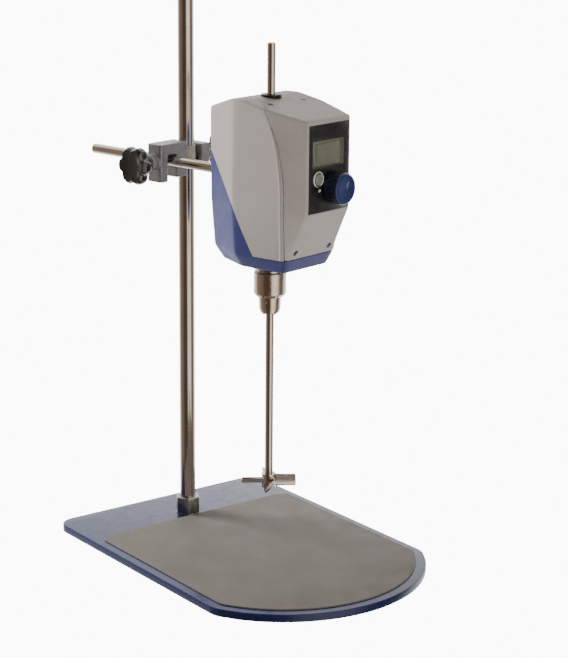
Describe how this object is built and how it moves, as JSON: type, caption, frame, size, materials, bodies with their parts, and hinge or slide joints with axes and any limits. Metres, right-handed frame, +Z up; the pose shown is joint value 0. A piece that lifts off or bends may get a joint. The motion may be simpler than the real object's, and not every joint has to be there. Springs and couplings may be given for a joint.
{
  "type": "overhead stirrer",
  "caption": "Digital overhead laboratory stirrer: two-tone drive head on a rod clamped by a boss head to a post on a bowed plate stand, with keyed chuck, shaft and propeller.",
  "frame": {"origin": "middle of the footprint at the plane that the plate's feet rest on", "axes": "+X to the operator's right, +Y away from the operator, +Z up along the post and the stirring shaft"},
  "size_m": [0.256, 0.404, 0.6],
  "materials": {
    "enamel_blue": "powder coat",
    "mat_rubber": "matte",
    "foot_rubber": "matte",
    "polished_steel": "polished",
    "plain_steel": "machined",
    "cap_plastic": "moulded",
    "nylon": "moulded",
    "cast_grey": "cast, nickel grey",
    "knob_black": "gloss",
    "cover_grey": "fine texture",
    "cover_light": "fine texture",
    "base_blue": "satin",
    "panel_black": "satin film",
    "window_clear": "clear",
    "bezel_chrome": "polished",
    "led_clear": "diffuse",
    "speed_blue": "satin",
    "board_green": "solder mask",
    "lcd_grey": "lcd",
    "switch_black": "moulded",
    "screw_black": "black oxide",
    "key_grey": "satin",
    "die_cast": "die cast",
    "bearing_steel": "ground",
    "belt_rubber": "matte",
    "motor_paint": "satin",
    "chuck_steel": "ground"
  },
  "bodies": {
    "stand": {"base_plate": "enamel_blue", "base_mat": "mat_rubber", "plate_feet": "foot_rubber", "post": "polished_steel", "post_nut": "plain_steel", "post_washer": "plain_steel", "post_bolt": "plain_steel", "post_cap": "cap_plastic"},
    "post_liner": {"post_liner": "nylon"},
    "boss_head": {"boss_head": "cast_grey"},
    "post_pad": {"post_pad": "plain_steel"},
    "post_screw": {"post_screw": "plain_steel", "post_knob": "knob_black"},
    "rod_pad": {"rod_pad": "plain_steel"},
    "rod_screw": {"rod_screw": "plain_steel", "rod_knob": "knob_black"},
    "support_rod": {"support_rod": "polished_steel"},
    "head": {"front_cover": "cover_light", "side_cover": "cover_grey", "base_housing": "base_blue", "cover_screws": "screw_black", "shaft_guard_ring": "switch_black", "bearing_collar": "chuck_steel", "front_panel": "panel_black", "display_window": "window_clear", "button_bezel": "bezel_chrome", "led_lens": "led_clear", "control_board": "board_green", "lcd_module": "lcd_grey", "button_switch": "switch_black", "speed_encoder": "plain_steel", "chassis": "die_cast", "lower_bearing": "bearing_steel", "upper_bearing": "bearing_steel", "drive_belt": "belt_rubber", "motor": "motor_paint", "motor_bracket": "plain_steel", "power_board": "board_green", "mains_inlet": "switch_black", "switch_frame": "switch_black"},
    "spindle": {"spindle": "bearing_steel", "spindle_pulley": "die_cast", "chuck_body": "chuck_steel"},
    "stirring_shaft": {"stirring_shaft": "polished_steel", "propeller": "polished_steel", "propeller_screw": "plain_steel"},
    "chuck_sleeve": {"chuck_sleeve": "chuck_steel"},
    "chuck_jaw_1": {"chuck_jaw_1": "chuck_steel"},
    "chuck_jaw_2": {"chuck_jaw_2": "chuck_steel"},
    "chuck_jaw_3": {"chuck_jaw_3": "chuck_steel"},
    "motor_shaft": {"motor_shaft": "bearing_steel", "motor_pulley": "die_cast"},
    "speed_knob": {"speed_knob": "speed_blue", "speed_knob_shaft": "plain_steel"},
    "start_button": {"start_button": "key_grey"},
    "power_rocker": {"power_rocker": "switch_black"}
  },
  "joints": [
    {"name": "height_slide", "type": "slide", "parent": "stand", "child": "post_liner", "axis": [0, 0, 1], "range_m": [-0.035, 0.185]},
    {"name": "clamp_swivel", "type": "hinge", "parent": "post_liner", "child": "boss_head", "pos_m": [0, 0.104, 0.39], "axis": [0, 0, 1], "range_deg": [-180, 180]},
    {"name": "post_pad_slide", "type": "slide", "parent": "boss_head", "child": "post_pad", "axis": [0.9804, 0.1972, 0], "range_m": [0, 0.004]},
    {"name": "post_screw_turn", "type": "hinge", "parent": "post_pad", "child": "post_screw", "pos_m": [0.01961, 0.10794, 0.39], "axis": [0.9804, 0.1972, 0], "range_deg": [0, 1155]},
    {"name": "rod_pad_slide", "type": "slide", "parent": "boss_head", "child": "rod_pad", "axis": [-0.9804, -0.1972, 0], "range_m": [0, 0.004]},
    {"name": "rod_screw_turn", "type": "hinge", "parent": "rod_pad", "child": "rod_screw", "pos_m": [-0.04902, 0.09414, 0.39], "axis": [-0.9804, -0.1972, 0], "range_deg": [0, 1155]},
    {"name": "rod_slide", "type": "slide", "parent": "boss_head", "child": "support_rod", "axis": [-0.1972, 0.9804, 0], "range_m": [-0.085, 0.055]},
    {"name": "head_tilt", "type": "hinge", "parent": "support_rod", "child": "head", "pos_m": [0, -0.038, 0.39], "axis": [-0.1972, 0.9804, 0], "range_deg": [-30, 30]},
    {"name": "spindle_spin", "type": "hinge", "parent": "head", "child": "spindle", "pos_m": [0, -0.038, 0.39], "axis": [0, 0, 1], "continuous": true},
    {"name": "shaft_slide", "type": "slide", "parent": "spindle", "child": "stirring_shaft", "axis": [0, 0, 1], "range_m": [-0.025, 0.15]},
    {"name": "sleeve_turn", "type": "hinge", "parent": "spindle", "child": "chuck_sleeve", "pos_m": [0, -0.038, 0.29], "axis": [0, 0, 1], "range_deg": [0, 725]},
    {"name": "jaw_1_slide", "type": "slide", "parent": "spindle", "child": "chuck_jaw_1", "axis": [0.1044, 0.092, 0.9903], "range_m": [0, 0.0035]},
    {"name": "jaw_2_slide", "type": "slide", "parent": "spindle", "child": "chuck_jaw_2", "axis": [-0.1319, 0.0445, 0.9903], "range_m": [0, 0.0035]},
    {"name": "jaw_3_slide", "type": "slide", "parent": "spindle", "child": "chuck_jaw_3", "axis": [0.0274, -0.1364, 0.9903], "range_m": [0, 0.0035]},
    {"name": "motor_spin", "type": "hinge", "parent": "head", "child": "motor_shaft", "pos_m": [-0.00522, -0.01202, 0.39], "axis": [0, 0, 1], "continuous": true},
    {"name": "speed_turn", "type": "hinge", "parent": "head", "child": "speed_knob", "pos_m": [0.01929, -0.10756, 0.3892], "axis": [-0.1972, 0.9804, 0], "continuous": true},
    {"name": "button_press", "type": "slide", "parent": "head", "child": "start_button", "axis": [-0.1972, 0.9804, 0], "range_m": [0, 0.001], "stiffness_N_per_m": 800},
    {"name": "rocker_tip", "type": "hinge", "parent": "head", "child": "power_rocker", "pos_m": [-0.01035, 0.01347, 0.3695], "axis": [0, 0, 1], "range_deg": [0, 18]}
  ],
  "couplings": [
    {"joint": "post_screw_turn", "follows": "post_pad_slide", "rad_per_m": 5026.5},
    {"joint": "rod_screw_turn", "follows": "rod_pad_slide", "rad_per_m": 5026.5},
    {"joint": "sleeve_turn", "follows": "jaw_1_slide", "rad_per_m": 3590.4},
    {"joint": "jaw_2_slide", "follows": "jaw_1_slide", "ratio": 1},
    {"joint": "jaw_3_slide", "follows": "jaw_1_slide", "ratio": 1},
    {"joint": "motor_spin", "follows": "spindle_spin", "ratio": 2.4}
  ]
}
